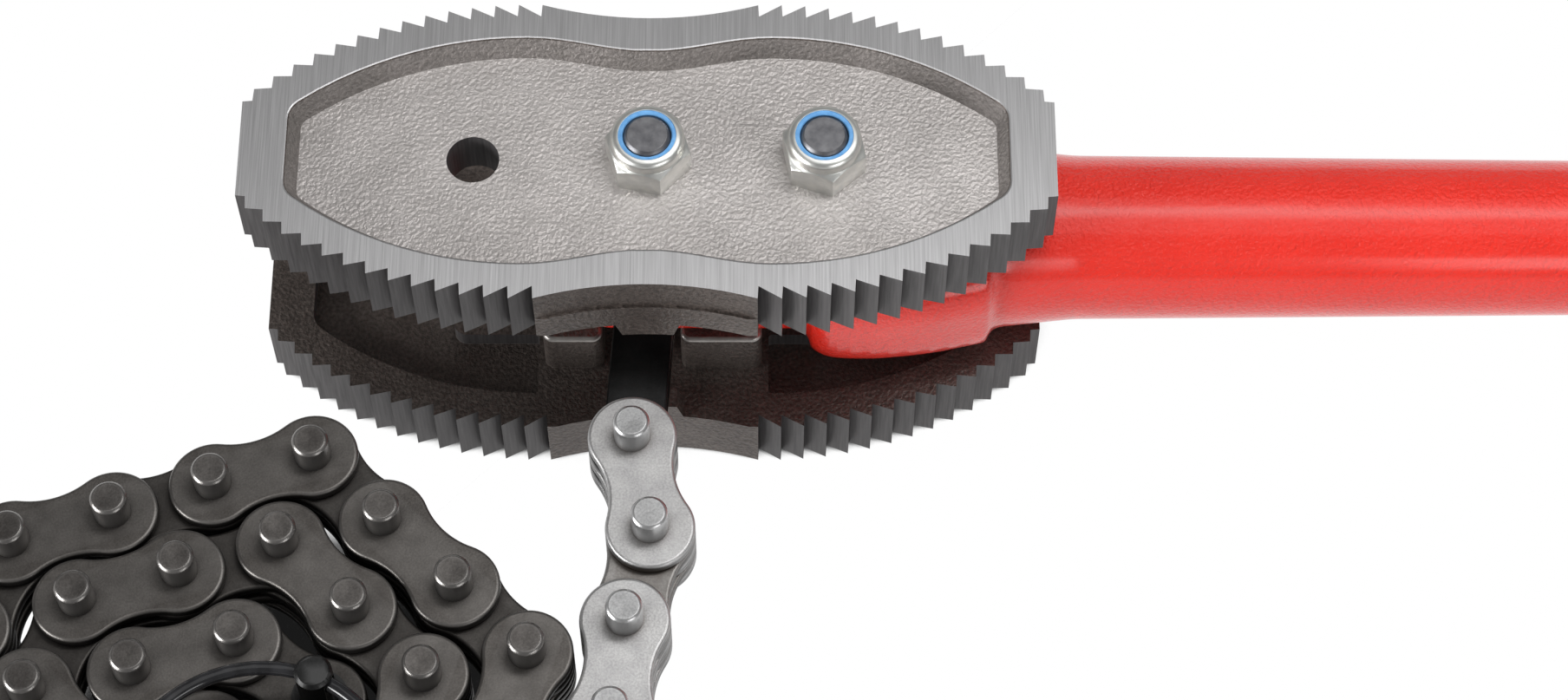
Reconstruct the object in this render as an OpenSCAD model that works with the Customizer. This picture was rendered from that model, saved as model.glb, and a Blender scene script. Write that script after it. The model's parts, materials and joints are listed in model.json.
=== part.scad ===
// Heavy chain pipe wrench: two toothed reversible jaw plates bolted over a forged head,
// a tapered handle, and a laminated pin chain that lies coiled beside the jaws.
// Units are mm. +X runs along the handle, +Z is up along the bolts, the chain leaves towards -Y.
// Z = 0 is the plane of the bolt heads, on which the tool lies.

/* [Jaw plates] */
// Half length of a jaw plate, centre bolt to blunt end
jaw_half_l = 118.2; // [114:0.2:124]
// Thickness of a jaw plate
jaw_t = 22.5; // [20:0.5:26]
// Clear gap between the two plates
jaw_gap = 58; // [56:0.5:64]
// Radius of the arc through the tooth tips
tip_arc_r = 121; // [116:1:128]
// Distance from the centre bolt to the crown of that arc, along the handle
tip_arc_x = 36; // [33:0.5:39]
// Half width of the plate at the crown of the arc
tip_arc_y = 49.5; // [47:0.5:53]
// Teeth in one quarter of the outline
tooth_count = 14; // [12:1:14]
// Angle between two teeth on the arc
tooth_step = 3.29; // [3.1:0.01:3.4]
// Depth of the steep face of a tooth
tooth_depth = 4; // [2.5:0.1:4.5]
// Hollow of the waist below the line of its two corners
waist_sag = 4.6; // [3:0.1:6]
// Depth of the forged panel in the outer face
recess_d = 6.4; // [4:0.1:7.5]
// Ground rim between tooth tips and panel
rim_w = 11.5; // [10:0.1:13]
// Run of the panel's sloped wall
recess_run = 3.1; // [2:0.1:4]
// Depth of the pockets in the inner face
pocket_d = 6; // [4:0.1:7]
// Half width of the bosses beside the chain slot
boss_half_w = 29.4; // [28:0.1:31]
// Half width of the flush pads round the end bolt holes
pad_half_w = 17.9; // [15:0.1:19]

/* [Bolts and nuts] */
// Nominal bolt diameter
bolt_d = 14; // [12:0.5:14.5]
// Clearance hole in the jaws
hole_d = 15.4; // [15:0.1:16.5]
// Distance between neighbouring bolt holes
hole_pitch = 51; // [49:0.5:53]
// Width across flats of nuts and bolt heads
hex_af = 22; // [21:0.5:24]
// Height of a bolt head
bolt_head_h = 8.8; // [8:0.1:10]
// Height of a lock nut
nut_h = 14; // [12:0.5:16]
// Bolt end standing above the nut
bolt_over = 0.3; // [0.1:0.1:5]

/* [Handle] */
// Distance from the centre bolt to the handle's far end
handle_end_x = 980; // [700:10:1100]
// Thickness of the flat tongue between the bosses
tongue_t = 22; // [20:0.5:24]
// Half thickness of the rounded cheeks
cheek_half_t = 22; // [20:0.5:24]
// Greatest half width of the cheeks
cheek_half_w = 35.6; // [33:0.2:36]
// Where the head meets the round handle
neck_x = 101; // [98:1:104]
// Radius of the flared handle root
root_r = 27.4; // [26:0.1:28]
// Radius where the flare ends
bar_r = 24.7; // [23:0.1:25.5]
// Radius at the far end
grip_r = 17.2; // [17:0.1:20]
// Bore radius of the tubular handle
bar_bore_r = 13; // [10:0.5:13.5]

/* [Chain] */
// Distance between two chain pins
pitch = 29.6; // [29.5:0.1:31]
// Radius of the rounded plate ends
lobe_r = 13; // [12.2:0.1:13.1]
// Half width of a plate at its waist
waist_r = 9.9; // [9:0.1:10]
// Radius of a chain pin
pin_r = 5.3; // [4.5:0.1:5.8]
// Thickness of one chain plate
plate_t = 3.8; // [3:0.1:3.9]
// Length of pin that stands out beyond the plates on each side
pin_over = 9.8; // [6:0.1:10]
// Bolt to first pin
anchor_l = 72.1; // [70:0.1:75]
// Width of the anchor link's neck
anchor_w = 17.6; // [14:0.1:18]
// Swing of the anchor link at rest, to the left of straight
anchor_swing = 3.6; // [2:0.1:5]
// Direction of the coil's upper row
coil_tilt = 17; // [16.5:0.5:17.5]
// Mean radius of the pull ring
ring_r = 38; // [34:0.5:42]
// Radius of the ring's wire
wire_r = 2; // [1.5:0.1:2.2]

/* [Hidden] */
// Running clearance on radius for pins in bores
run_fit = 0.06;
// Play between flat faces that slide
slip = 0.2;
// Small overlap for clean cuts
eps = 0.5;
rim_z = bolt_head_h - recess_d;
mid_z = rim_z + jaw_t + jaw_gap / 2;
half_gap = jaw_gap / 2;
seat_z = tongue_t / 2 + 0.03;
hole_r = hole_d / 2;
bolt_r = bolt_d / 2;
hex_r = hex_af / 2 / cos(30);
panel_half_l = jaw_half_l - rim_w - 2;
panel_y = tip_arc_y - rim_w;
panel_waist = tip_arc_y - waist_sag - rim_w;
panel_arc_r = tip_arc_r - rim_w;
panel_corner_r = 7;
first_tooth = -1.96;
steep_lean = 0.25;
fine = 96;

// Chain course: a lead of bright links, each off straight by its kink, then a six-sided coil that
// turns clockwise inwards and loses one link a side with each turn
lead_kinks = [11, -13, -6.5, -18, -18];
coil_sides = [3, 4, 2, 3, 3, 2];
// How far each side of the coil lies off an even hexagon, as the chain was laid down
side_slack = [-2, 2, -8, 1, -1, -4, -2, 0, -10, 1, -1, -4, 0, 2, 0, 0, 9];
function side_len(j) = coil_sides[j % 6] - floor(j / 6);
function side_of(i, j = 0) = i < side_len(j) ? j : side_of(i - side_len(j), j + 1);
function total(n, j = 0) = j == n ? 0 : side_len(j) + total(n, j + 1);
lead_n = len(lead_kinks);
link_n = lead_n + total(len(side_slack));
function side_heading(j) = coil_tilt - 180 - 60 * j + side_slack[j];
function heading(i) = i < lead_n ? -90 + lead_kinks[i] : side_heading(side_of(i - lead_n));
function along(a, l) = [l * cos(a), l * sin(a)];
first_pin = along(-90 - anchor_swing, anchor_l);
function pin_at(n) = n == 0 ? first_pin : pin_at(n - 1) + along(heading(n - 1), pitch);
ring_heading = heading(link_n - 1) - 78;
wire_z = plate_t / 2 + 2 * (plate_t + slip) + pin_over + wire_r + 0.3;

function two(i) = str(i < 10 ? "0" : "", i);
function link_name(i) = str("link_", two(i + 1));

// Tooth outline of a jaw, quarter by quarter
function tip(i) = let (a = first_tooth + tooth_step * i)
  [tip_arc_x + tip_arc_r * sin(a), tip_arc_y - tip_arc_r * (1 - cos(a))];
function root(i) = tip(i) + [steep_lean, -tooth_depth];
last_tip = [for (i = [0 : tooth_count - 1]) if (root(i)[0] < jaw_half_l - 0.5) i];
tooth_n = len(last_tip);
end_y = root(tooth_n - 1)[1] - steep_lean;
function quarter() = [
  for (i = [0 : tooth_n - 1]) each [tip(i), root(i)],
  [jaw_half_l, end_y]
];
function flip_x(p) = [for (i = [len(p) - 1 : -1 : 0]) [-p[i][0], p[i][1]]];
function flip_y(p) = [for (i = [len(p) - 1 : -1 : 0]) [p[i][0], -p[i][1]]];
function ring_of(q) = concat(q, flip_y(q), flip_x(flip_y(q)), flip_x(q));

// Outline of the forged panel, inset by d
function panel_top(x, d) = x < tip_arc_x
  ? panel_waist - d + (panel_y - panel_waist) * (1 - cos(180 * x / tip_arc_x)) / 2
  : panel_y - panel_arc_r + sqrt(pow(panel_arc_r - d, 2) - pow(x - tip_arc_x, 2));
corner_a = 52;
function corner_x(d) = panel_half_l - panel_corner_r + (panel_corner_r - d) * cos(corner_a);
corner_y = panel_top(corner_x(0), 0) - panel_corner_r * sin(corner_a);
waist_steps = 8;
arc_steps = 12;
function panel_quarter(d) = [
  for (k = [1 : waist_steps]) let (x = tip_arc_x * k / waist_steps) [x, panel_top(x, d)],
  for (k = [1 : arc_steps - 1])
    let (x = tip_arc_x + (corner_x(d) - tip_arc_x) * k / arc_steps) [x, panel_top(x, d)],
  for (a = [corner_a : -13 : 0])
    [panel_half_l - panel_corner_r, corner_y] + along(a, panel_corner_r - d)
];
function panel_ring(d) = ring_of(panel_quarter(d));

// Solid between two like outlines, for the sloped wall of the panel; side is 1 or -1
module frustum(low, high, z0, z1, side) {
  n = len(low);
  pts = concat([for (p = low) [p[0], p[1], side * z0]], [for (p = high) [p[0], p[1], side * z1]]);
  walls = [for (i = [0 : n - 1]) each [[i, (i + 1) % n, n + i], [(i + 1) % n, n + (i + 1) % n, n + i]]];
  ends = [[for (i = [n - 1 : -1 : 0]) i], [for (i = [0 : n - 1]) n + i]];
  all = concat(walls, ends);
  polyhedron(pts, side > 0 ? all : [for (f = all) [for (k = [len(f) - 1 : -1 : 0]) f[k]]]);
}

module rounded(x0, x1, y0, y1, r) {
  translate([x0 + r, y0]) square([x1 - x0 - 2 * r, y1 - y0]);
  translate([x0, y0 + r]) square([x1 - x0, y1 - y0 - 2 * r]);
  for (x = [x0 + r, x1 - r])
    for (y = [y0 + r, y1 - r])
      translate([x, y]) circle(r, $fn = fine);
}

// Slab between heights a and b measured from the jaws' middle plane, on one side of it
module slab(a, b, side) {
  translate([0, 0, side > 0 ? a : -b]) linear_extrude(b - a) children();
}

// One jaw about the middle plane: side 1 is the upper plate, -1 the lower one
pad_x1 = hole_pitch + hole_r + 2.7;
boss_x1 = 33;
slot_left = 15;
slot_right = 8.5;
lug_half_w = 9.4;
lug_h = 6;
waist_step = 0.8;
parting_z = half_gap + 0.45 * jaw_t;
pocket_x0 = 35;
outer_z = half_gap + jaw_t;
waist_y = tip(0)[1];
waist_arc_r = (pow(tip(0)[0], 2) + waist_sag * waist_sag) / (2 * waist_sag);
module jaw(side) {
  difference() {
    union() {
      difference() {
        slab(half_gap, outer_z, side) polygon(ring_of(quarter()));
        for (s = [-1, 1])
          slab(half_gap - eps, half_gap + pocket_d, side)
            intersection() {
              polygon(panel_ring(0));
              translate([s > 0 ? pocket_x0 : -pocket_x0 - jaw_half_l, -tip_arc_y])
                square([jaw_half_l, 2 * tip_arc_y]);
            }
      }
      for (s = [-1, 1])
        slab(half_gap, half_gap + pocket_d + eps, side)
          rounded(s > 0 ? boss_x1 - 8 : -pad_x1, s > 0 ? pad_x1 : 8 - boss_x1, -pad_half_w, pad_half_w, 4);
      for (s = [-1, 1])
        slab(seat_z, half_gap + eps, side) {
          rounded(s > 0 ? slot_right : -boss_x1, s > 0 ? boss_x1 : -slot_left, -boss_half_w, 0, 3);
          rounded(s > 0 ? slot_left : -boss_x1, s > 0 ? boss_x1 : -slot_right, 0, boss_half_w, 3);
          translate([s > 0 ? slot_left : -boss_x1, -4]) square([boss_x1 - slot_left, 8]);
        }
      for (s = [-1, 1])
        translate([0, s > 0 ? waist_y : -waist_y + 10, side * half_gap])
          rotate([90, 0, 0])
            linear_extrude(10)
              polygon([[-lug_half_w, side * eps], [lug_half_w, side * eps],
                [lug_half_w - 2, -side * lug_h], [2 - lug_half_w, -side * lug_h]]);
    }
    for (s = [-1, 1]) {
      translate([0, s * (waist_y - waist_sag + waist_arc_r + waist_step), -outer_z - eps])
        cylinder(r = waist_arc_r, h = 2 * outer_z + 2 * eps, $fn = 360);
      slab(parting_z, outer_z + eps, side)
        translate([0, s * (waist_y - waist_sag + waist_arc_r)]) circle(waist_arc_r, $fn = 360);
    }
    frustum(panel_ring(recess_run), panel_ring(-recess_run / recess_d), outer_z - recess_d, outer_z + 1, side);
    for (x = [-hole_pitch, 0, hole_pitch])
      translate([x, 0, -outer_z - eps]) cylinder(r = hole_r, h = 2 * outer_z + 2 * eps, $fn = fine);
  }
}

module lower_jaw() {
  color([0.55, 0.53, 0.52]) translate([0, 0, mid_z]) jaw(-1);
}

module upper_jaw() {
  color([0.62, 0.6, 0.6]) translate([0, 0, mid_z]) jaw(1);
}

// Forged head: rounded cheeks with a hub that the pads clamp, a clevis tongue round the centre bolt,
// and a spigot in the handle
tongue_x0 = -20;
tongue_half_w = 26.5;
hub_r = 16;
clevis_z = plate_t / 2 + plate_t + 2 * slip + 0.1;
clevis_r = lobe_r + 0.8;
spigot_l = 45;
cheek_round = 14;
round_steps = 5;
// Plan of the cheeks: distance along the handle, share of the greatest half width
cheek_plan = [
  [47.2, 0.888], [48.4, 0.915], [49.8, 0.941], [52.3, 0.978], [57, 0.997], [66.6, 1], [74.1, 0.983],
  [81.7, 0.955], [87, 0.93], [92.4, 0.893], [neck_x, 0.84]
];
function cheek_ring(d) = let (n = len(cheek_plan)) concat(
  [for (i = [0 : n - 1]) [cheek_plan[i][0], d - cheek_half_w * cheek_plan[i][1]]],
  [for (i = [n - 1 : -1 : 0]) [cheek_plan[i][0], cheek_half_w * cheek_plan[i][1] - d]]
);
cheek_turns = concat(
  [for (k = [round_steps : -1 : 0]) -90 * k / round_steps], [for (k = [0 : round_steps]) 90 * k / round_steps]
);
module cheeks() {
  flat = cheek_half_t - cheek_round;
  rings = [for (i = [0 : len(cheek_turns) - 1]) cheek_ring(cheek_round * (1 - cos(cheek_turns[i])))];
  heights = [
    for (i = [0 : len(cheek_turns) - 1]) (i <= round_steps ? -flat : flat) + cheek_round * sin(cheek_turns[i])
  ];
  n = len(rings[0]);
  last = len(rings) - 1;
  pts = [for (j = [0 : last]) each [for (p = rings[j]) [p[0], p[1], heights[j]]]];
  walls = [
    for (j = [0 : last - 1])
      for (i = [0 : n - 1])
        let (a = j * n + i, b = j * n + (i + 1) % n) each [[a, a + n, b], [b, a + n, b + n]]
  ];
  ends = [[for (i = [0 : n - 1]) i], [for (i = [n - 1 : -1 : 0]) last * n + i]];
  polyhedron(pts, concat(walls, ends));
}

module clevis_plan() {
  circle(clevis_r, $fn = fine);
  polygon([[-clevis_r, 0], [-clevis_r - 4, -tongue_half_w - eps], [clevis_r + 1, -tongue_half_w - eps], [clevis_r, 0]]);
}

module handle_head() {
  color([0.78, 0.16, 0.12]) translate([0, 0, mid_z])
    difference() {
      union() {
        translate([0, 0, -tongue_t / 2]) linear_extrude(tongue_t)
          rounded(tongue_x0, neck_x - 20, -tongue_half_w, tongue_half_w, 8);
        cheeks();
        translate([hole_pitch, 0, 0.03 - half_gap]) cylinder(r = hub_r, h = jaw_gap - 0.06, $fn = fine);
        translate([neck_x - eps, 0, 0]) rotate([0, 90, 0])
          cylinder(r = bar_bore_r - 0.02, h = spigot_l + eps, $fn = fine);
      }
      translate([0, 0, -clevis_z]) linear_extrude(2 * clevis_z) clevis_plan();
      for (x = [0, hole_pitch])
        translate([x, 0, -half_gap]) cylinder(r = hole_r, h = jaw_gap, $fn = fine);
    }
}

// Tapered tubular handle with its flared root, and the domed plug in its far end
flare_l = 26;
cap_l = 8;
cap_round = 5;
plug_l = 30;
module handle_bar() {
  color([0.78, 0.16, 0.12]) translate([neck_x, 0, mid_z]) rotate([0, 90, 0])
    difference() {
      union() {
        cylinder(r1 = root_r, r2 = bar_r, h = flare_l, $fn = fine);
        translate([0, 0, flare_l])
          cylinder(r1 = bar_r, r2 = grip_r, h = handle_end_x - cap_l - neck_x - flare_l, $fn = fine);
      }
      translate([0, 0, -eps]) cylinder(r = bar_bore_r, h = handle_end_x, $fn = fine);
    }
}

module end_cap() {
  color([0.78, 0.16, 0.12]) translate([handle_end_x - cap_l, 0, mid_z]) rotate([0, 90, 0]) {
    translate([0, 0, -plug_l]) cylinder(r = bar_bore_r - 0.02, h = plug_l + eps, $fn = fine);
    rotate_extrude($fn = fine) {
      square([grip_r, cap_l - cap_round]);
      square([grip_r - cap_round, cap_l]);
      translate([grip_r - cap_round, cap_l - cap_round])
        intersection() {
          circle(cap_round, $fn = fine);
          square(cap_round);
        }
    }
  }
}

// Hexagon with turned corners, from z = 0 up; the two nuts stopped at different angles
centre_turn = -12.6;
end_turn = -18.6;
module hexagon(h, top, turn) {
  intersection() {
    rotate([0, 0, turn]) cylinder(r = hex_r, h = h, $fn = 6);
    union() {
      cylinder(r = hex_r + 1, h = h - top, $fn = fine);
      translate([0, 0, h - top]) cylinder(r1 = hex_r + 0.1, r2 = hex_af / 2 - 0.5, h = top, $fn = fine);
    }
  }
}

nut_seat_z = mid_z + outer_z - recess_d;
bolt_top_z = nut_seat_z + nut_h + bolt_over;
module bolt(x) {
  color([0.2, 0.2, 0.21]) translate([x, 0, 0]) {
    translate([0, 0, bolt_head_h]) rotate([180, 0, 0]) hexagon(bolt_head_h, 1.4, centre_turn);
    cylinder(r = bolt_r, h = bolt_top_z - 1.2, $fn = fine);
    translate([0, 0, bolt_top_z - 1.2]) cylinder(r1 = bolt_r, r2 = bolt_r - 1.2, h = 1.2, $fn = fine);
  }
}

collar_h = 4.2;
collar_round = 2.2;
collar_r = hex_af / 2 - 0.3;
lip_r = bolt_r + 1.4;
module nut(x) {
  color([0.78, 0.79, 0.77]) translate([x, 0, nut_seat_z])
    difference() {
      union() {
        hexagon(nut_h - collar_h, 1.6, x > 0 ? end_turn : centre_turn);
        translate([0, 0, nut_h - collar_h - eps])
          rotate_extrude($fn = fine) {
            square([collar_r - collar_round, collar_h + eps]);
            square([collar_r, collar_h + eps - collar_round]);
            translate([collar_r - collar_round, collar_h + eps - collar_round])
              intersection() {
                circle(collar_round, $fn = fine);
                square(collar_round);
              }
          }
      }
      translate([0, 0, -eps]) cylinder(r = bolt_r + run_fit, h = nut_h + 2 * eps, $fn = fine);
      translate([0, 0, nut_h - collar_h + 1]) cylinder(r = lip_r, h = collar_h, $fn = fine);
    }
}

module nut_ring(x) {
  color([0.3, 0.55, 0.8]) translate([x, 0, nut_seat_z + nut_h - collar_h + 1])
    difference() {
      cylinder(r = lip_r - 0.02, h = collar_h - 1.3, $fn = fine);
      translate([0, 0, -eps]) cylinder(r = bolt_r + run_fit, h = collar_h, $fn = fine);
    }
}

// Chain plate between pins l apart: two round ends and a hollow waist
module plate_plan(l, r, w, bore_a, bore_b) {
  hollow_r = (l * l / 4 + w * w - r * r) / (2 * (r - w));
  reach = r / (r + hollow_r);
  touch = [l / 2 * reach, (w + hollow_r) * reach];
  difference() {
    union() {
      circle(r, $fn = fine);
      translate([l, 0]) circle(r, $fn = fine);
      polygon([[0, 0], touch, [l - touch[0], touch[1]], [l, 0], [l - touch[0], -touch[1]], [touch[0], -touch[1]]]);
    }
    for (s = [-1, 1])
      translate([l / 2, s * (w + hollow_r)]) circle(hollow_r, $fn = 2 * fine);
    if (bore_a > 0) circle(bore_a, $fn = fine);
    if (bore_b > 0) translate([l, 0]) circle(bore_b, $fn = fine);
  }
}

// Layers of the plate stack, counted from its middle
function layer_z(k) = k * (plate_t + slip) - plate_t / 2;
module plate(k, l, r, w, bore_a, bore_b) {
  translate([0, 0, layer_z(k)]) linear_extrude(plate_t) plate_plan(l, r, w, bore_a, bore_b);
}

pin_half_l = plate_t / 2 + 2 * (plate_t + slip) + pin_over;
pin_edge = 0.8;
module chain_pin() {
  translate([0, 0, -pin_half_l + pin_edge]) cylinder(r = pin_r, h = 2 * (pin_half_l - pin_edge), $fn = fine);
  translate([0, 0, pin_half_l - pin_edge]) cylinder(r1 = pin_r, r2 = pin_r - pin_edge, h = pin_edge, $fn = fine);
  translate([0, 0, -pin_half_l]) cylinder(r1 = pin_r - pin_edge, r2 = pin_r, h = pin_edge, $fn = fine);
}

module outer_link() {
  for (k = [-2, 0, 2]) plate(k, pitch, lobe_r, waist_r, 0, 0);
  chain_pin();
  translate([pitch, 0, 0]) chain_pin();
}

module inner_link() {
  for (k = [-1, 1]) plate(k, pitch, lobe_r, waist_r, pin_r + run_fit, pin_r + run_fit);
}

module link(i) {
  p = pin_at(i);
  shade = i < lead_n ? [0.66, 0.66, 0.67] : [0.3, 0.28, 0.27];
  color(shade) translate([p[0], p[1], mid_z]) rotate([0, 0, heading(i)])
    if (i % 2 == 0) outer_link();
    else inner_link();
}

// Anchor link: two long plates from the centre bolt to the first chain pin
module anchor_link() {
  color([0.12, 0.12, 0.13]) translate([0, 0, mid_z]) rotate([0, 0, -90 - anchor_swing])
    for (k = [-1, 1])
      translate([0, 0, layer_z(k)]) linear_extrude(plate_t)
        difference() {
          union() {
            circle(lobe_r, $fn = fine);
            translate([anchor_l, 0]) circle(lobe_r, $fn = fine);
            translate([0, -anchor_w / 2]) square([anchor_l, anchor_w]);
          }
          circle(bolt_r + run_fit, $fn = fine);
          translate([anchor_l, 0]) circle(pin_r + run_fit, $fn = fine);
        }
}

// End pin with a cross hole that carries the pull ring above the pin ends
end_at = pin_at(link_n);
flange_t = 2;
flange_r = 8;
eye_top = wire_z + wire_r + 2.5;
inner_top = plate_t / 2 + plate_t + slip;
module end_pin() {
  color([0.3, 0.28, 0.27]) translate([end_at[0], end_at[1], mid_z]) rotate([0, 0, ring_heading])
    difference() {
      union() {
        translate([0, 0, -inner_top - slip - flange_t]) cylinder(r = flange_r, h = flange_t, $fn = fine);
        translate([0, 0, inner_top + slip]) cylinder(r = flange_r, h = flange_t, $fn = fine);
        translate([0, 0, -inner_top - slip - eps]) cylinder(r = pin_r, h = inner_top + slip + eps + eye_top - 1, $fn = fine);
        translate([0, 0, eye_top - 1]) cylinder(r1 = pin_r, r2 = pin_r - 1, h = 1, $fn = fine);
      }
      translate([0, 0, wire_z]) rotate([90, 0, 0])
        cylinder(r = wire_r + 0.7, h = 4 * pin_r, center = true, $fn = fine);
    }
}

module end_ring() {
  color([0.06, 0.06, 0.06]) translate([end_at[0], end_at[1], mid_z + wire_z]) rotate([0, 0, ring_heading])
    translate([ring_r, 0, 0])
      rotate_extrude($fn = fine) translate([ring_r, 0]) circle(wire_r, $fn = 48);
}

lower_jaw();
upper_jaw();
handle_head();
handle_bar();
end_cap();
bolt(0);  // centre_bolt
bolt(hole_pitch);  // end_bolt
nut(0);  // centre_nut
nut(hole_pitch);  // end_nut
nut_ring(0);  // centre_nut_ring
nut_ring(hole_pitch);  // end_nut_ring
anchor_link();
for (i = [0 : link_n - 1])
  link(i);
end_pin();
end_ring();
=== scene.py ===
import json
import math
import bmesh
import bpy
from mathutils import Matrix, Vector


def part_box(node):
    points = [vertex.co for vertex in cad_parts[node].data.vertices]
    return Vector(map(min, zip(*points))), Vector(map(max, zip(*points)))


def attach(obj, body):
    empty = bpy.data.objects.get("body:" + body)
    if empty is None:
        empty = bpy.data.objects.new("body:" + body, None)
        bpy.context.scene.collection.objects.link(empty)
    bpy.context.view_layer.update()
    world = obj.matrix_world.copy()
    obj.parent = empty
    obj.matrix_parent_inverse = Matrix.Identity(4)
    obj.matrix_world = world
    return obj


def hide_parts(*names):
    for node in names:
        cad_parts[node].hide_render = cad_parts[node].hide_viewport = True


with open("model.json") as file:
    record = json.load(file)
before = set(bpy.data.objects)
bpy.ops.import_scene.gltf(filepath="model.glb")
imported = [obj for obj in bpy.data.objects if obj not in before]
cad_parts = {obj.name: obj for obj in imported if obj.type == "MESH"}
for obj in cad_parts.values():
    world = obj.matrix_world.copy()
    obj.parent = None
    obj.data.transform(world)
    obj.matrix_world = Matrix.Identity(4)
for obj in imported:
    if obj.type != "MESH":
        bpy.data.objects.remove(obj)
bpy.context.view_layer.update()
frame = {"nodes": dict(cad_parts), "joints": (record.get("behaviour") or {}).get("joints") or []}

MM = 0.001


# Jaw plates
# Two drop-forged alloy steel plates, 236 by 99 mm and 22.5 mm thick, 58 mm apart, with ground
# rims, broached teeth on both edges and a shot-blasted panel sunk 6.4 mm into the outer face.
# Bolts clamp them to the head; every forged edge is softly rounded.
def piece_from_node(node, name, whole=True):
    """A copy of a CAD node's mesh, its triangles merged back into whole faces where wanted."""
    mesh = frame["nodes"][node].data.copy()
    mesh.name = name
    mesh.materials.clear()
    mesh.attributes.remove(mesh.attributes["custom_normal"])
    bm = bmesh.new()
    bm.from_mesh(mesh)
    bmesh.ops.remove_doubles(bm, verts=bm.verts, dist=0.004 * MM)
    if whole:
        bmesh.ops.dissolve_limit(bm, angle_limit=math.radians(1), verts=bm.verts, edges=bm.edges)
    bm.to_mesh(mesh)
    bm.free()
    piece = bpy.data.objects.new(name, mesh)
    bpy.context.collection.objects.link(piece)
    return piece


def round_edges(bm, wanted, width, segments, sharp=25, finish=-1):
    """Rounds the edges that wanted picks, sharper than sharp degrees; finish is their material slot."""
    edges = [
        e for e in bm.edges
        if len(e.link_faces) == 2 and e.calc_face_angle(0) > math.radians(sharp) and wanted(e)
    ]
    if edges:
        bmesh.ops.bevel(
            bm, geom=edges, offset=width, offset_type="OFFSET", segments=segments,
            profile=0.5, affect="EDGES", clamp_overlap=True, material=finish,
        )


def shade_by_angle(piece, degrees, flat=()):
    """Smooth shading, crisp where edges are sharper than the angle and flat in the flat slots."""
    piece.data.set_sharp_from_angle(angle=math.radians(degrees))
    for polygon in piece.data.polygons:
        polygon.use_smooth = polygon.material_index not in flat and abs(polygon.normal.z) < 0.999


def new_material(name):
    """An empty node material: its nodes, its links and its shader."""
    material = bpy.data.materials.new(name)
    material.use_nodes = True
    tree = material.node_tree
    shader = tree.nodes["Principled BSDF"]
    return material, tree.nodes, tree.links, shader


def object_noise(nodes, links, scale, detail, stretch=(1, 1, 1)):
    """Noise on Object coordinates, stretched along the piece's own axes; returns its value."""
    place = nodes.new("ShaderNodeTexCoord")
    mapping = nodes.new("ShaderNodeMapping")
    mapping.inputs["Scale"].default_value = stretch
    noise = nodes.new("ShaderNodeTexNoise")
    noise.inputs["Scale"].default_value = scale
    noise.inputs["Detail"].default_value = detail
    links.new(place.outputs["Object"], mapping.inputs["Vector"])
    links.new(mapping.outputs["Vector"], noise.inputs["Vector"])
    return noise.outputs["Fac"]


def ramp(nodes, links, value, stops):
    """Colour ramp through (position, colour) stops; returns its colour."""
    band = nodes.new("ShaderNodeValToRGB")
    elements = band.color_ramp.elements
    elements[0].position, elements[0].color = stops[0][0], (*stops[0][1], 1)
    elements[1].position, elements[1].color = stops[-1][0], (*stops[-1][1], 1)
    for position, colour in stops[1:-1]:
        elements.new(position).color = (*colour, 1)
    links.new(value, band.inputs["Fac"])
    return band.outputs["Color"]


def bump(nodes, links, shader, height, depth, strength=1.0):
    """Surface relief of a real depth in metres."""
    relief = nodes.new("ShaderNodeBump")
    relief.inputs["Strength"].default_value = strength
    relief.inputs["Distance"].default_value = depth
    links.new(height, relief.inputs["Height"])
    links.new(relief.outputs["Normal"], shader.inputs["Normal"])


def blend(nodes, links, kind, a, b, factor=1.0):
    """Mixes two colours; a and b are sockets or plain colours."""
    node = nodes.new("ShaderNodeMix")
    node.data_type = "RGBA"
    node.blend_type = kind
    for socket, value in ((node.inputs["Factor"], factor), (node.inputs["A"], a), (node.inputs["B"], b)):
        if isinstance(value, bpy.types.NodeSocket):
            links.new(value, socket)
        else:
            socket.default_value = value if isinstance(value, float) else (*value, 1)
    return node.outputs["Result"]


def forged_skin(name, low, high, rough, metallic, grain, depth):
    """Shot-blasted forging: pits under a millimetre wide over broad patches."""
    material, nodes, links, shader = new_material(name)
    patches = object_noise(nodes, links, 60, 4)
    pits = object_noise(nodes, links, 850, 6)
    broad = ramp(nodes, links, patches, [(0.3, low), (0.7, high)])
    speckle = ramp(nodes, links, pits, [
        (0.36, (1 - grain,) * 3), (0.5, (1.0,) * 3), (0.64, (1 + grain,) * 3),
    ])
    links.new(blend(nodes, links, "MULTIPLY", broad, speckle), shader.inputs["Base Color"])
    shader.inputs["Roughness"].default_value = rough
    shader.inputs["Metallic"].default_value = metallic
    bump(nodes, links, shader, pits, depth)
    return material


def ground_steel(name, low, high, rough, metallic, stretch):
    """Ground, broached or worn steel; its scratches are as fine along each axis as stretch says."""
    material, nodes, links, shader = new_material(name)
    scratches = object_noise(nodes, links, 1.0, 4, stretch)
    links.new(ramp(nodes, links, scratches, [(0.3, low), (0.7, high)]), shader.inputs["Base Color"])
    shader.inputs["Roughness"].default_value = rough
    shader.inputs["Metallic"].default_value = metallic
    bump(nodes, links, shader, scratches, 0.03 * MM)
    return material


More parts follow.
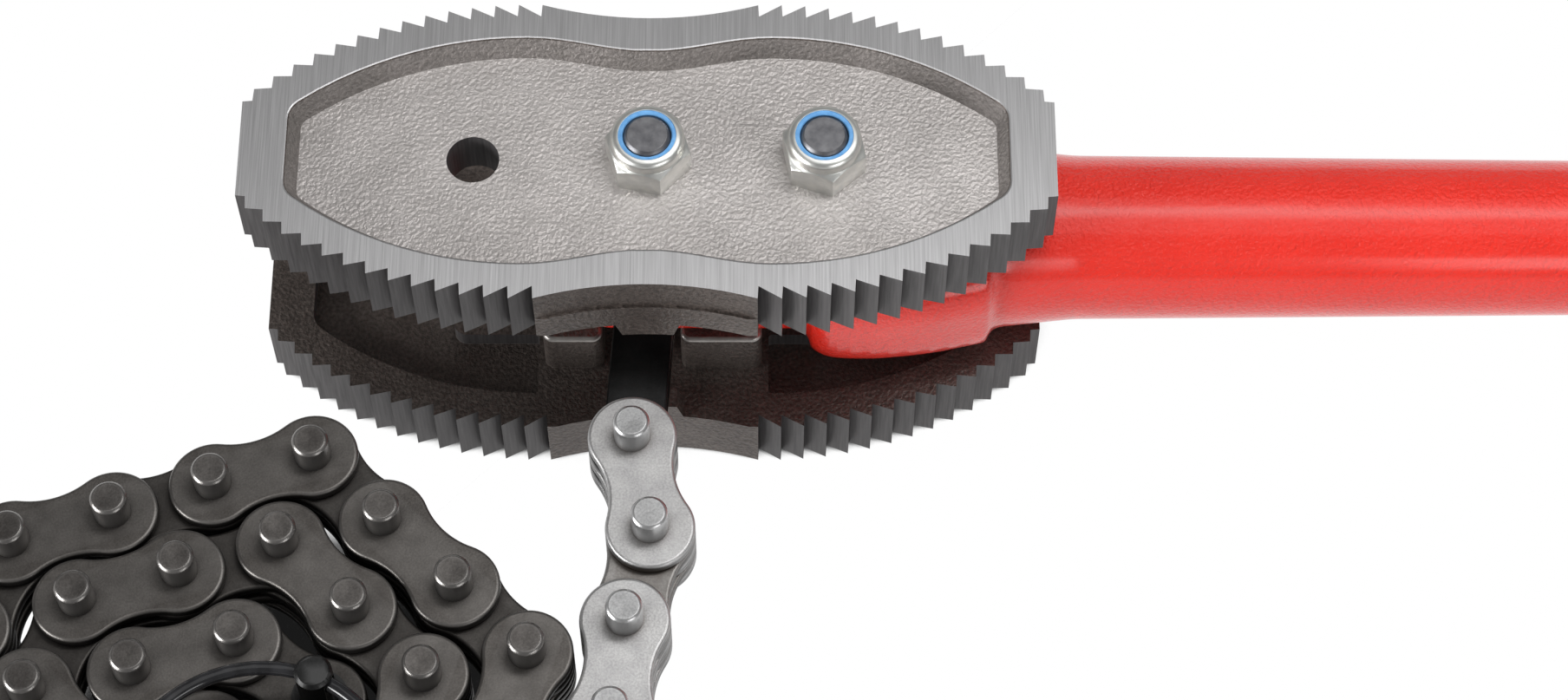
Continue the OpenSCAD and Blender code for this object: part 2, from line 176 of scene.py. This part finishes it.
panel_skin = forged_skin(
    "panel_skin", (0.41, 0.385, 0.372), (0.495, 0.466, 0.452), 0.38, 0.6, 0.07, 0.45 * MM,
)
# The faces between the plates take a darker, browner copy of the panel skin: painted shade.
inner_skin = forged_skin(
    "inner_skin", (0.073, 0.058, 0.051), (0.11, 0.091, 0.081), 0.42, 0.45, 0.3, 0.5 * MM,
)
# The recess walls take a darker copy of the panel skin: painted shade.
wall_scale = forged_skin(
    "wall_scale", (0.17, 0.155, 0.145), (0.22, 0.20, 0.19), 0.5, 0.4, 0.15, 0.8 * MM,
)
worn_edge = ground_steel(
    "worn_edge", (0.30, 0.28, 0.265), (0.42, 0.40, 0.38), 0.35, 0.7, (300, 300, 300),
)
rim_ground = ground_steel(
    "rim_ground", (0.46, 0.455, 0.46), (0.62, 0.615, 0.62), 0.28, 0.9, (2600, 40, 40),
)
tooth_broached = ground_steel(
    "tooth_broached", (0.055, 0.051, 0.052), (0.105, 0.099, 0.1), 0.48, 0.35, (1400, 1400, 60),
)

RIM, PANEL, INNER, TOOTH, WORN, WALL = range(6)
jaw_t = 22.5 * MM
waist_half_w = 31.5 * MM
panel_depth = 6.4 * MM
pocket_depth = 6.0 * MM
pocket_corner_r = 8 * MM
panel_fillet_r = 3.2 * MM
inner_fillet_r = 3.5 * MM
seat_round_r = 1.2 * MM
inner_round_r = 0.6 * MM
rim_round_r = 0.5 * MM
edge_break_r = 0.22 * MM
near = 0.05 * MM


def jaw_piece(node, side):
    """Rounds and paints one jaw; side is 1 for the upper plate and -1 for the lower one."""
    piece = piece_from_node(node, node + "_forging")
    low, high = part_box(node)
    outer = high.z if side > 0 else low.z
    seat = low.z if side > 0 else high.z
    floor = outer - side * panel_depth
    inner = outer - side * jaw_t

    def at(edge, level):
        return all(abs(v.co.z - level) < near for v in edge.verts)

    def pocket_corner(edge):
        a, b = edge.verts
        upright = abs(a.co.x - b.co.x) + abs(a.co.y - b.co.y) < near
        deep = abs(abs(a.co.z - b.co.z) - pocket_depth) < 2 * near
        return upright and deep and not edge.is_convex

    def rim_lip(edge):
        return at(edge, outer) and all(abs(f.normal.z) > 0.3 for f in edge.link_faces)

    bm = bmesh.new()
    bm.from_mesh(piece.data)
    round_edges(bm, pocket_corner, pocket_corner_r, 6, sharp=40)
    round_edges(bm, lambda e: at(e, floor) and not e.is_convex, panel_fillet_r, 5, sharp=40)
    round_edges(bm, lambda e: at(e, inner) and not e.is_convex, inner_fillet_r, 4, sharp=40)
    round_edges(bm, lambda e: at(e, seat), seat_round_r, 3, finish=WORN)
    pocket_floor = inner + side * pocket_depth
    round_edges(bm, lambda e: at(e, pocket_floor) and not e.is_convex, seat_round_r, 3, sharp=40)
    round_edges(bm, rim_lip, rim_round_r, 2)
    round_edges(bm, lambda e: at(e, inner) and e.is_convex, inner_round_r, 2, sharp=40, finish=WORN)
    round_edges(bm, lambda e: True, edge_break_r, 1, sharp=40)
    for m in (rim_ground, panel_skin, inner_skin, tooth_broached, worn_edge, wall_scale):
        piece.data.materials.append(m)
    for f in bm.faces:
        c = f.calc_center_median()
        level = abs(f.normal.z)
        height = (c.z - inner) * side
        if f.material_index == WORN and height < 2 * MM:
            continue
        # Faces between the plates default to the inner skin, which is painted shade.
        f.material_index = INNER
        if abs(c.z - outer) < 2 * near and level > 0.9:
            f.material_index = RIM
        # Steep recess walls take the darker wall skin, which is painted shade.
        elif height > 12 * MM and level > 0.05 and abs(c.z - outer) > 0.3 * MM:
            f.material_index = PANEL if level > 0.55 else WALL
        elif level < 0.3 and abs(c.x) > waist_half_w and height > 0:
            f.material_index = TOOTH
    bm.to_mesh(piece.data)
    bm.free()
    shade_by_angle(piece, 35, flat=(RIM, TOOTH))
    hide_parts(node)
    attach(piece, "frame")


jaw_piece("lower_jaw", -1)
jaw_piece("upper_jaw", 1)


# Head and handle
# A flat head with a clevis tongue, clamped between the jaws, that flows into a tapered bar,
# 49 mm across behind the head and 34 mm at the grip, its end 980 mm from the centre bolt.
# It is red all over; the thick paint lies over a rough skin, so its highlight has grain.
def red_enamel():
    """Semi-gloss red paint with a clear top layer over coarse grain."""
    material, nodes, links, shader = new_material("red_enamel")
    patches = object_noise(nodes, links, 25, 3)
    grain = object_noise(nodes, links, 800, 3)
    tone = ramp(nodes, links, patches, [(0.3, (0.72, 0.016, 0.006)), (0.7, (0.78, 0.022, 0.009))])
    links.new(tone, shader.inputs["Base Color"])
    shader.inputs["Roughness"].default_value = 0.3
    shader.inputs["Specular IOR Level"].default_value = 0.25
    shader.inputs["Coat Weight"].default_value = 0.75
    shader.inputs["Coat Roughness"].default_value = 0.17
    bump(nodes, links, shader, grain, 1.0 * MM)
    return material


def turned(name, profile, steps):
    """A solid of revolution about Z; its (radius, height) points end on the axis or close on themselves."""
    bm = bmesh.new()
    chain = [bm.verts.new((r, 0, z)) for r, z in profile]
    edges = [bm.edges.new(pair) for pair in zip(chain, chain[1:])]
    bmesh.ops.spin(
        bm, geom=chain + edges, cent=(0, 0, 0), axis=(0, 0, 1), angle=2 * math.pi,
        steps=steps, use_duplicate=False,
    )
    bmesh.ops.remove_doubles(bm, verts=bm.verts, dist=0.002 * MM)
    bmesh.ops.recalc_face_normals(bm, faces=bm.faces)
    mesh = bpy.data.meshes.new(name)
    bm.to_mesh(mesh)
    bm.free()
    return mesh


red_paint = red_enamel()
bar_low, bar_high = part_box("handle_bar")
cap_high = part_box("end_cap")[1]
axis_z = (bar_low.z + bar_high.z) / 2
root_r = (bar_high.z - bar_low.z) / 2
flare_r = 24.7 * MM
flare_l = 26 * MM
grip_r = cap_high.y
cap_round = 5 * MM
forge_grain = 1.5 * MM
bar_l = cap_high.x - bar_low.x
bar_profile = [(0, 0), (root_r, 0), (flare_r, flare_l), (grip_r, bar_l - cap_round)]
bar_profile += [
    (grip_r - cap_round * (1 - math.cos(a)), bar_l - cap_round * (1 - math.sin(a)))
    for a in (0.4, 0.8, 1.2, math.pi / 2)
]
bar_profile.append((0, bar_l))
bar_mesh = turned("bar_blank", bar_profile, 96)
bar_mesh.transform(Matrix.Translation((bar_low.x, 0, axis_z)) @ Matrix.Rotation(math.pi / 2, 4, "Y"))
handle = piece_from_node("handle_head", "handle_forging")
bm = bmesh.new()
bm.from_mesh(handle.data)
bm.from_mesh(bar_mesh)
bm.to_mesh(handle.data)
bm.free()
remesh = handle.modifiers.new("forge", "REMESH")
remesh.mode = "VOXEL"
remesh.voxel_size = forge_grain
soften = handle.modifiers.new("soften", "SMOOTH")
soften.factor = 0.5
soften.iterations = 10
bpy.context.view_layer.update()
forged = bpy.data.meshes.new_from_object(handle.evaluated_get(bpy.context.evaluated_depsgraph_get()))
handle.modifiers.clear()
handle.data = forged
handle.data.materials.clear()
handle.data.materials.append(red_paint)
for polygon in handle.data.polygons:
    polygon.use_smooth = True
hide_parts("handle_head", "handle_bar", "end_cap")
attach(handle, "frame")


# Bolts, lock nuts and nylon rings
# M14 hexagon bolts come up from below and end in dark chamfered tips; zinc-plated lock nuts,
# 22 mm across flats, with a pressed-in blue nylon ring hold them in the outer panel.
def plated(name, low, high, rough):
    """Plated or blackened steel with a faint cloudy tone."""
    material, nodes, links, shader = new_material(name)
    cloud = object_noise(nodes, links, 300, 4)
    links.new(ramp(nodes, links, cloud, [(0.3, low), (0.7, high)]), shader.inputs["Base Color"])
    shader.inputs["Roughness"].default_value = rough
    shader.inputs["Metallic"].default_value = 1.0
    bump(nodes, links, shader, cloud, 0.05 * MM, 0.5)
    return material


zinc = plated("zinc_plate", (0.68, 0.69, 0.67), (0.84, 0.84, 0.80), 0.33)
bolt_black = plated("bolt_black", (0.13, 0.13, 0.14), (0.24, 0.24, 0.25), 0.42)
nylon, nylon_nodes, nylon_links, nylon_shader = new_material("blue_nylon")
nylon_cloud = object_noise(nylon_nodes, nylon_links, 500, 2)
nylon_links.new(
    ramp(nylon_nodes, nylon_links, nylon_cloud, [(0.3, (0.10, 0.30, 0.62)), (0.7, (0.17, 0.42, 0.76))]),
    nylon_shader.inputs["Base Color"],
)
nylon_shader.inputs["Roughness"].default_value = 0.35


def fitted_piece(node, name, material, rounding):
    """A bolt or nut on the frame: the CAD shape with its edges rounded."""
    piece = piece_from_node(node, name, whole=False)
    bm = bmesh.new()
    bm.from_mesh(piece.data)
    round_edges(bm, lambda e: True, rounding, 2, sharp=30)
    bm.to_mesh(piece.data)
    bm.free()
    piece.data.materials.append(material)
    shade_by_angle(piece, 35)
    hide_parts(node)
    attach(piece, "frame")


thread_r = 7.06 * MM
bolt_round_r = 0.3 * MM
nut_round_r = 0.25 * MM
lip = 0.25 * MM
for place in ("centre", "end"):
    fitted_piece(place + "_bolt", place + "_bolt_turned", bolt_black, bolt_round_r)
    fitted_piece(place + "_nut", place + "_nut_plated", zinc, nut_round_r)
    low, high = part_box(place + "_nut_ring")
    ring_out = (high.x - low.x) / 2
    ring_mesh = turned(place + "_nut_ring_moulded", [
        (thread_r, low.z), (ring_out, low.z), (ring_out, high.z), (thread_r + lip, high.z),
        (thread_r, high.z - lip), (thread_r, low.z),
    ], 64)
    ring_mesh.transform(Matrix.Translation(((low.x + high.x) / 2, (low.y + high.y) / 2, 0)))
    ring_mesh.materials.append(nylon)
    nylon_ring = bpy.data.objects.new(ring_mesh.name, ring_mesh)
    bpy.context.collection.objects.link(nylon_ring)
    shade_by_angle(nylon_ring, 35)
    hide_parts(place + "_nut_ring")
    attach(nylon_ring, "frame")


# Chain
# Stamped plates, 26 mm wide and 3.8 mm thick, in five layers on 10.6 mm riveted pins at 29.6 mm
# pitch. The links by the jaws are bright, the coiled rest is dark and oiled, with rubbed edges.
# Odd links have three plates and two pins, even links two bored plates.
def rubbed_edges(nodes, links, colour, edge):
    """Lightens the convex edges of a piece, where handling has rubbed it bright."""
    shape = nodes.new("ShaderNodeNewGeometry")
    rubbed = nodes.new("ShaderNodeMapRange")
    rubbed.inputs["From Min"].default_value = 0.515
    rubbed.inputs["From Max"].default_value = 0.57
    links.new(shape.outputs["Pointiness"], rubbed.inputs["Value"])
    return blend(nodes, links, "MIX", colour, edge, rubbed.outputs["Result"])


def chain_steel(name, low, high, edge, stain_and_shade, rough, side=0.3):
    """Stamped plate steel: cloudy tone, painted shade on upright sides, rubbed edges, a brown stain with
    painted shade in the crevices.
    """
    material, nodes, links, shader = new_material(name)
    cloud = object_noise(nodes, links, 140, 5)
    fine = object_noise(nodes, links, 1600, 3)
    speckle = ramp(nodes, links, fine, [(0.35, (0.86,) * 3), (0.65, (1.14,) * 3)])
    tone = blend(nodes, links, "MULTIPLY", ramp(nodes, links, cloud, [(0.3, low), (0.7, high)]), speckle)
    # Upright faces, the cut sides of the plates and the sides of the pins, are darkened by the side factor:
    # painted shade.
    place = nodes.new("ShaderNodeTexCoord")
    split = nodes.new("ShaderNodeSeparateXYZ")
    links.new(place.outputs["Normal"], split.inputs["Vector"])
    level = nodes.new("ShaderNodeMath")
    level.operation = "ABSOLUTE"
    links.new(split.outputs["Z"], level.inputs[0])
    painted_side_shade = ramp(nodes, links, level.outputs[0], [(0.1, (side,) * 3), (0.5, (1,) * 3)])
    tone = blend(nodes, links, "MULTIPLY", tone, painted_side_shade)
    # Where parts crowd each other, ambient occlusion blends in a darker colour: partly a brown stain,
    # partly painted shade in crevices and on plates lying under others.
    crevice = nodes.new("ShaderNodeAmbientOcclusion")
    crevice.samples = 8
    crevice.inputs["Distance"].default_value = 8 * MM
    open_share = ramp(nodes, links, crevice.outputs["AO"], [(0.35, (0, 0, 0)), (0.8, (1, 1, 1))])
    worn = rubbed_edges(nodes, links, tone, edge)
    links.new(blend(nodes, links, "MIX", stain_and_shade, worn, open_share), shader.inputs["Base Color"])
    shader.inputs["Roughness"].default_value = rough
    shader.inputs["Metallic"].default_value = 0.85
    bump(nodes, links, shader, fine, 0.05 * MM, 0.6)
    return material


# Crevice colours: a brown stain that also serves as painted shade.
bright_stain_and_shade = (0.075, 0.06, 0.05)
dark_stain_and_shade = (0.03, 0.027, 0.025)
bright_plate = chain_steel(
    "bright_plate", (0.325, 0.32, 0.32), (0.415, 0.41, 0.405), (0.5, 0.5, 0.5), bright_stain_and_shade, 0.42,
)
bright_pin = chain_steel(
    "bright_pin", (0.26, 0.26, 0.26), (0.40, 0.40, 0.40), (0.6, 0.6, 0.6), bright_stain_and_shade, 0.3, 0.45,
)
dark_plate = chain_steel(
    "dark_plate", (0.068, 0.062, 0.057), (0.108, 0.1, 0.093), (0.27, 0.26, 0.25), dark_stain_and_shade, 0.42, 0.2,
)
# The inner links' plates lie under the outer plates and take darker copies of the same steel: painted
# shade.
bright_inner = chain_steel(
    "bright_inner", (0.19, 0.18, 0.17), (0.26, 0.25, 0.24), (0.4, 0.4, 0.4), bright_stain_and_shade, 0.46,
)
dark_inner = chain_steel(
    "dark_inner", (0.042, 0.038, 0.035), (0.07, 0.065, 0.06), (0.13, 0.125, 0.12), dark_stain_and_shade, 0.46,
)
dark_pin = chain_steel(
    "dark_pin", (0.07, 0.064, 0.06), (0.13, 0.121, 0.114), (0.3, 0.29, 0.28), dark_stain_and_shade, 0.3, 0.45,
)

lobe_r = 13.0 * MM
waist_r = 9.9 * MM
pin_r = 5.3 * MM
bore_r = pin_r + 0.06 * MM
plate_t = 3.8 * MM
layer_step = 4.0 * MM
stamped_edge = 1.1 * MM
link_joints = [j for j in frame["joints"] if j["child"].startswith("link_")]
ring_joint = [j for j in frame["joints"] if j["child"] == "pull_ring"][0]
pins = [Vector(j["pos_m"]) for j in link_joints] + [Vector(ring_joint["pos_m"])]
pitch = (pins[1] - pins[0]).length


def circle_points(centre, radius, count, start=0.0, sweep=2 * math.pi):
    """Points on an arc about centre, the closing point left out."""
    return [
        (centre[0] + radius * math.cos(start + sweep * k / count),
         centre[1] + radius * math.sin(start + sweep * k / count))
        for k in range(count)
    ]


def plate_points(length):
    """Outline of a chain plate: two round ends joined by hollow flanks that touch them."""
    hollow = (length**2 / 4 + waist_r**2 - lobe_r**2) / (2 * (lobe_r - waist_r))
    lift = math.atan2(waist_r + hollow, length / 2)
    spread = math.pi / 2 - lift
    points = circle_points((length, 0), lobe_r, 40, lift - math.pi, 2 * (math.pi - lift))
    points += circle_points((length / 2, waist_r + hollow), hollow, 14, -math.pi / 2 + spread, -2 * spread)
    points += circle_points((0, 0), lobe_r, 40, lift, 2 * (math.pi - lift))
    points += circle_points((length / 2, -waist_r - hollow), hollow, 14, math.pi / 2 + spread, -2 * spread)
    return points


def stamped_plate(name, outline, holes, thickness):
    """A flat plate with rounded edges, its middle plane at z = 0, made from a filled curve."""
    curve = bpy.data.curves.new(name, "CURVE")
    curve.dimensions = "2D"
    curve.fill_mode = "BOTH"
    curve.extrude = thickness / 2 - stamped_edge
    curve.bevel_depth = stamped_edge
    curve.bevel_resolution = 3
    curve.offset = -stamped_edge
    for ring in [outline] + holes:
        spline = curve.splines.new("POLY")
        spline.points.add(len(ring) - 1)
        for point, (x, y) in zip(spline.points, ring):
            point.co = (x, y, 0, 1)
        spline.use_cyclic_u = True
    flat = bpy.data.objects.new(name, curve)
    bpy.context.collection.objects.link(flat)
    bpy.context.view_layer.update()
    mesh = bpy.data.meshes.new_from_object(flat.evaluated_get(bpy.context.evaluated_depsgraph_get()))
    bpy.data.objects.remove(flat)
    bm = bmesh.new()
    bm.from_mesh(mesh)
    bmesh.ops.remove_doubles(bm, verts=bm.verts, dist=0.002 * MM)
    bmesh.ops.recalc_face_normals(bm, faces=bm.faces)
    bm.to_mesh(mesh)
    bm.free()
    return mesh


# Half of a pin's outline, from its slightly hollow end face over the chamfer to the shank
pin_half = 19.7 * MM
pin_chamfer = 0.8 * MM
pin_half_profile = [
    (0, pin_half - 0.1 * MM), (2.5 * MM, pin_half - 0.04 * MM), (pin_r - pin_chamfer - 0.25 * MM, pin_half),
    (pin_r - pin_chamfer, pin_half - 0.06 * MM), (pin_r - 0.1 * MM, pin_half - pin_chamfer),
    (pin_r, pin_half - pin_chamfer - 0.2 * MM),
]
pin_mesh = turned("pin_blank", pin_half_profile + [(r, -z) for r, z in reversed(pin_half_profile)], 40)
outer_mesh = stamped_plate("outer_blank", plate_points(pitch), [], plate_t)
inner_mesh = stamped_plate(
    "inner_blank", plate_points(pitch),
    [circle_points((0, 0), bore_r, 40), circle_points((pitch, 0), bore_r, 40)], plate_t,
)


def link_tree():
    """Node tree for one link: plates stacked on a line, pins at both ends, turned into place."""
    tree = bpy.data.node_groups.new("chain_link", "GeometryNodeTree")
    face = tree.interface
    inputs = {}
    for name, kind in (
        ("Plate", "NodeSocketObject"), ("Pin", "NodeSocketObject"), ("Plates", "NodeSocketInt"),
        ("Pins", "NodeSocketInt"), ("Layer Step", "NodeSocketFloat"), ("Pitch", "NodeSocketFloat"),
        ("Place", "NodeSocketVector"), ("Turn", "NodeSocketVector"),
        ("Plate Finish", "NodeSocketMaterial"), ("Pin Finish", "NodeSocketMaterial"),
    ):
        inputs[name] = face.new_socket(name, in_out="INPUT", socket_type=kind).identifier
    face.new_socket("Geometry", in_out="OUTPUT", socket_type="NodeSocketGeometry")
    nodes, links = tree.nodes, tree.links
    given = nodes.new("NodeGroupInput")
    result = nodes.new("NodeGroupOutput")

    def stacked(blank, count, offset, start, is_pin):
        source = nodes.new("GeometryNodeObjectInfo")
        links.new(given.outputs[blank], source.inputs["Object"])
        marked = nodes.new("GeometryNodeStoreNamedAttribute")
        marked.data_type = "BOOLEAN"
        marked.domain = "FACE"
        marked.inputs["Name"].default_value = "is_pin"
        marked.inputs["Value"].default_value = is_pin
        links.new(source.outputs["Geometry"], marked.inputs["Geometry"])
        line = nodes.new("GeometryNodeMeshLine")
        links.new(given.outputs[count], line.inputs["Count"])
        links.new(offset, line.inputs["Offset"])
        if start is not None:
            links.new(start, line.inputs["Start Location"])
        spread = nodes.new("GeometryNodeInstanceOnPoints")
        links.new(line.outputs["Mesh"], spread.inputs["Points"])
        links.new(marked.outputs["Geometry"], spread.inputs["Instance"])
        return spread.outputs["Instances"]

    def arithmetic(operation, a, b):
        node = nodes.new("ShaderNodeMath")
        node.operation = operation
        for socket, value in zip(node.inputs, (a, b)):
            if isinstance(value, (int, float)):
                socket.default_value = value
            else:
                links.new(value, socket)
        return node.outputs[0]

    up = nodes.new("ShaderNodeCombineXYZ")
    links.new(given.outputs["Layer Step"], up.inputs["Z"])
    base = nodes.new("ShaderNodeCombineXYZ")
    gaps = arithmetic("SUBTRACT", given.outputs["Plates"], 1)
    half = arithmetic("MULTIPLY", arithmetic("MULTIPLY", gaps, given.outputs["Layer Step"]), -0.5)
    links.new(half, base.inputs["Z"])
    across = nodes.new("ShaderNodeCombineXYZ")
    links.new(given.outputs["Pitch"], across.inputs["X"])
    join = nodes.new("GeometryNodeJoinGeometry")
    plates = stacked("Plate", "Plates", up.outputs["Vector"], base.outputs["Vector"], False)
    links.new(plates, join.inputs["Geometry"])
    links.new(stacked("Pin", "Pins", across.outputs["Vector"], None, True), join.inputs["Geometry"])
    move = nodes.new("GeometryNodeTransform")
    links.new(join.outputs["Geometry"], move.inputs["Geometry"])
    links.new(given.outputs["Place"], move.inputs["Translation"])
    links.new(given.outputs["Turn"], move.inputs["Rotation"])
    real = nodes.new("GeometryNodeRealizeInstances")
    links.new(move.outputs["Geometry"], real.inputs["Geometry"])
    plain = nodes.new("GeometryNodeSetMaterial")
    links.new(real.outputs["Geometry"], plain.inputs["Geometry"])
    links.new(given.outputs["Plate Finish"], plain.inputs["Material"])
    which = nodes.new("GeometryNodeInputNamedAttribute")
    which.data_type = "BOOLEAN"
    which.inputs["Name"].default_value = "is_pin"
    pinned = nodes.new("GeometryNodeSetMaterial")
    links.new(plain.outputs["Geometry"], pinned.inputs["Geometry"])
    links.new(which.outputs["Attribute"], pinned.inputs["Selection"])
    links.new(given.outputs["Pin Finish"], pinned.inputs["Material"])
    links.new(pinned.outputs["Geometry"], result.inputs["Geometry"])
    return tree, inputs


link_nodes, link_inputs = link_tree()
blanks = {}
for blank in (pin_mesh, outer_mesh, inner_mesh):
    blanks[blank.name] = bpy.data.objects.new(blank.name, blank)
    bpy.context.collection.objects.link(blanks[blank.name])


def link_piece(name, settings):
    """Runs the link tree once and keeps its result as a plain mesh."""
    maker = bpy.data.objects.new(name + "_maker", bpy.data.meshes.new(name + "_maker"))
    bpy.context.collection.objects.link(maker)
    modifier = maker.modifiers.new("link", "NODES")
    modifier.node_group = link_nodes
    for key, value in settings.items():
        modifier[link_inputs[key]] = value
    bpy.context.view_layer.update()
    mesh = bpy.data.meshes.new_from_object(maker.evaluated_get(bpy.context.evaluated_depsgraph_get()))
    bpy.data.objects.remove(maker)
    mesh.name = name
    piece = bpy.data.objects.new(name, mesh)
    bpy.context.collection.objects.link(piece)
    shade_by_angle(piece, 35)
    return piece


bright_links = 5
# Inner links take the darker plate copies, which are painted shade.
plate_finish = {
    (True, True): bright_plate, (True, False): bright_inner,
    (False, True): dark_plate, (False, False): dark_inner,
}
for count, joint in enumerate(link_joints):
    body = joint["child"]
    node = body.replace("_body", "")
    reach = pins[count + 1] - pins[count]
    outer = count % 2 == 0
    bright = count < bright_links
    piece = link_piece(node + "_plates", {
        "Plate": blanks["outer_blank" if outer else "inner_blank"], "Pin": blanks["pin_blank"],
        "Plates": 3 if outer else 2, "Pins": 2 if outer else 0,
        "Layer Step": 2 * layer_step, "Pitch": pitch,
        "Place": pins[count], "Turn": (0, 0, math.atan2(reach.y, reach.x)),
        "Plate Finish": plate_finish[bright, outer],
        "Pin Finish": bright_pin if bright else dark_pin,
    })
    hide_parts(node)
    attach(piece, body)
for blank in blanks.values():
    bpy.data.objects.remove(blank)


# Anchor link, end pin and pull ring
# The black anchor reaches 72 mm from the centre bolt to the first pin; the free end of the
# chain carries a glossy black ring, 76 mm across, of 4 mm wire in the eye of a tall pin.
anchor_black = chain_steel(
    "anchor_black", (0.012,) * 3, (0.027,) * 3, (0.06,) * 3, (0.01,) * 3, 0.35,
)
ring_black, nodes, links, shader = new_material("ring_black")
ring_cloud = object_noise(nodes, links, 200, 3)
ring_tone = ramp(nodes, links, ring_cloud, [(0.3, (0.008, 0.008, 0.009)), (0.7, (0.02, 0.02, 0.022))])
links.new(ring_tone, shader.inputs["Base Color"])
shader.inputs["Roughness"].default_value = 0.12
for node, material, body, slot, rounding in (
    ("anchor_link", anchor_black, "anchor", "black_oxide", 0.5 * MM),
    ("end_pin", anchor_black, "pull_ring", "chain_dark", 0.3 * MM),
    ("end_ring", ring_black, "pull_ring", "black_lacquer", 0),
):
    piece = piece_from_node(node, node + "_finished")
    if rounding:
        bm = bmesh.new()
        bm.from_mesh(piece.data)
        round_edges(bm, lambda e: True, rounding, 2, sharp=40)
        bm.to_mesh(piece.data)
        bm.free()
    piece.data.materials.append(material)
    shade_by_angle(piece, 35)
    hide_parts(node)
    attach(piece, body)


# Studio
# A white floor, 30 m wide, a broad soft light overhead with a strip for the bar's highlight, and
# fills from the left and front; the camera looks down across the jaws from before the waist.
floor_mesh = bpy.data.meshes.new("floor")
half = 15.0
corners = [(-half, -half, 0), (half, -half, 0), (half, half, 0), (-half, half, 0)]
floor_mesh.from_pydata(corners, [], [(0, 1, 2, 3)])
floor = bpy.data.objects.new("floor", floor_mesh)
bpy.context.collection.objects.link(floor)
floor_white, nodes, links, shader = new_material("floor_white")
shader.inputs["Base Color"].default_value = (0.8, 0.8, 0.8, 1)
shader.inputs["Roughness"].default_value = 0.9
seen = nodes.new("ShaderNodeLightPath")
glow = nodes.new("ShaderNodeEmission")


def floor_shade(distance, dark, clear):
    """White glowing floor with a painted shadow where pieces within the distance shelter it."""
    sheltered = nodes.new("ShaderNodeAmbientOcclusion")
    sheltered.samples = 32
    sheltered.inputs["Distance"].default_value = distance
    return ramp(nodes, links, sheltered.outputs["AO"], [(dark, (0.01, 0.01, 0.01)), (clear, (1, 1, 1))])


coil_pins = pins[bright_links + 1:]
coil_centre = sum(coil_pins, Vector()) / len(coil_pins)
coil_centre.z = 0
coil_r = max((Vector((p.x, p.y, 0)) - coil_centre).length for p in coil_pins)
place = nodes.new("ShaderNodeTexCoord")
apart = nodes.new("ShaderNodeVectorMath")
apart.operation = "DISTANCE"
apart.inputs[1].default_value = coil_centre
links.new(place.outputs["Object"], apart.inputs[0])
within = nodes.new("ShaderNodeMapRange")
within.inputs["From Min"].default_value = coil_r
within.inputs["From Max"].default_value = coil_r * 0.92
links.new(apart.outputs["Value"], within.inputs["Value"])
# The open floor and the coil's footprint each get a painted shadow from ambient occlusion. Inside the
# footprint the shadow is deeper and reaches further.
open_floor_shadow = floor_shade(0.06, 0.15, 0.34)
coil_floor_shadow = floor_shade(0.15, 0.38, 0.57)
shade = blend(nodes, links, "MIX", open_floor_shadow, coil_floor_shadow, within.outputs["Result"])
links.new(shade, glow.inputs["Color"])
mix = nodes.new("ShaderNodeMixShader")
direct = nodes.new("ShaderNodeMath")
direct.operation = "MAXIMUM"
mirrored = nodes.new("ShaderNodeMath")
mirrored.operation = "MAXIMUM"
links.new(seen.outputs["Is Camera Ray"], direct.inputs[0])
links.new(seen.outputs["Is Glossy Ray"], mirrored.inputs[0])
links.new(seen.outputs["Is Transmission Ray"], mirrored.inputs[1])
links.new(mirrored.outputs[0], direct.inputs[1])
links.new(direct.outputs[0], mix.inputs[0])
links.new(shader.outputs["BSDF"], mix.inputs[1])
links.new(glow.outputs["Emission"], mix.inputs[2])
links.new(mix.outputs["Shader"], nodes["Material Output"].inputs["Surface"])
floor_mesh.materials.append(floor_white)

world = bpy.data.worlds.new("studio")
bpy.context.scene.world = world
world.use_nodes = True
world.node_tree.nodes["Background"].inputs["Color"].default_value = (1, 1, 1, 1)
world.node_tree.nodes["Background"].inputs["Strength"].default_value = 0.22


def softbox(name, place, target, size, power):
    """A rectangular area light aimed at the target."""
    lamp = bpy.data.lights.new(name, "AREA")
    lamp.shape = "RECTANGLE"
    lamp.size, lamp.size_y = size
    lamp.energy = power
    box = bpy.data.objects.new(name, lamp)
    bpy.context.collection.objects.link(box)
    box.location = place
    box.rotation_euler = (Vector(target) - Vector(place)).to_track_quat("-Z", "Y").to_euler()


softbox("overhead", (0.6, 0.03, 1.3), (0.6, 0.03, 0), (2.0, 1.26), 5.0)
softbox("bar_strip", (0.6, 0.15, 1.3), (0.6, 0.15, 0), (1.1, 0.22), 11.5)
softbox("left_fill", (-1.2, -0.6, 0.42), (0, 0, 0.05), (0.8, 0.5), 21)
softbox("front_fill", (0.8, -1.1, 0.55), (0.25, 0, 0.05), (0.7, 0.4), 3.5)

photo_width_px = 1808
focal_px = 4207
sensor = 36.0
camera_data = bpy.data.cameras.new("camera")
camera_data.sensor_width = sensor
camera_data.lens = focal_px / photo_width_px * sensor
camera_data.clip_end = 20
camera = bpy.data.objects.new("camera", camera_data)
bpy.context.collection.objects.link(camera)
right = Vector((0.999989, -0.001376, 0.004454))
down = Vector((0.000876, -0.882968, -0.469433))
ahead = Vector((0.004579, 0.469432, -0.882957))
stand = Vector((34.63, -546.72, 1009.71)) * MM
turn = Matrix((right, -down, -ahead)).transposed().to_4x4()
camera.matrix_world = Matrix.Translation(stand) @ turn
bpy.context.scene.camera = camera
bpy.context.scene.view_settings.view_transform = "Standard"
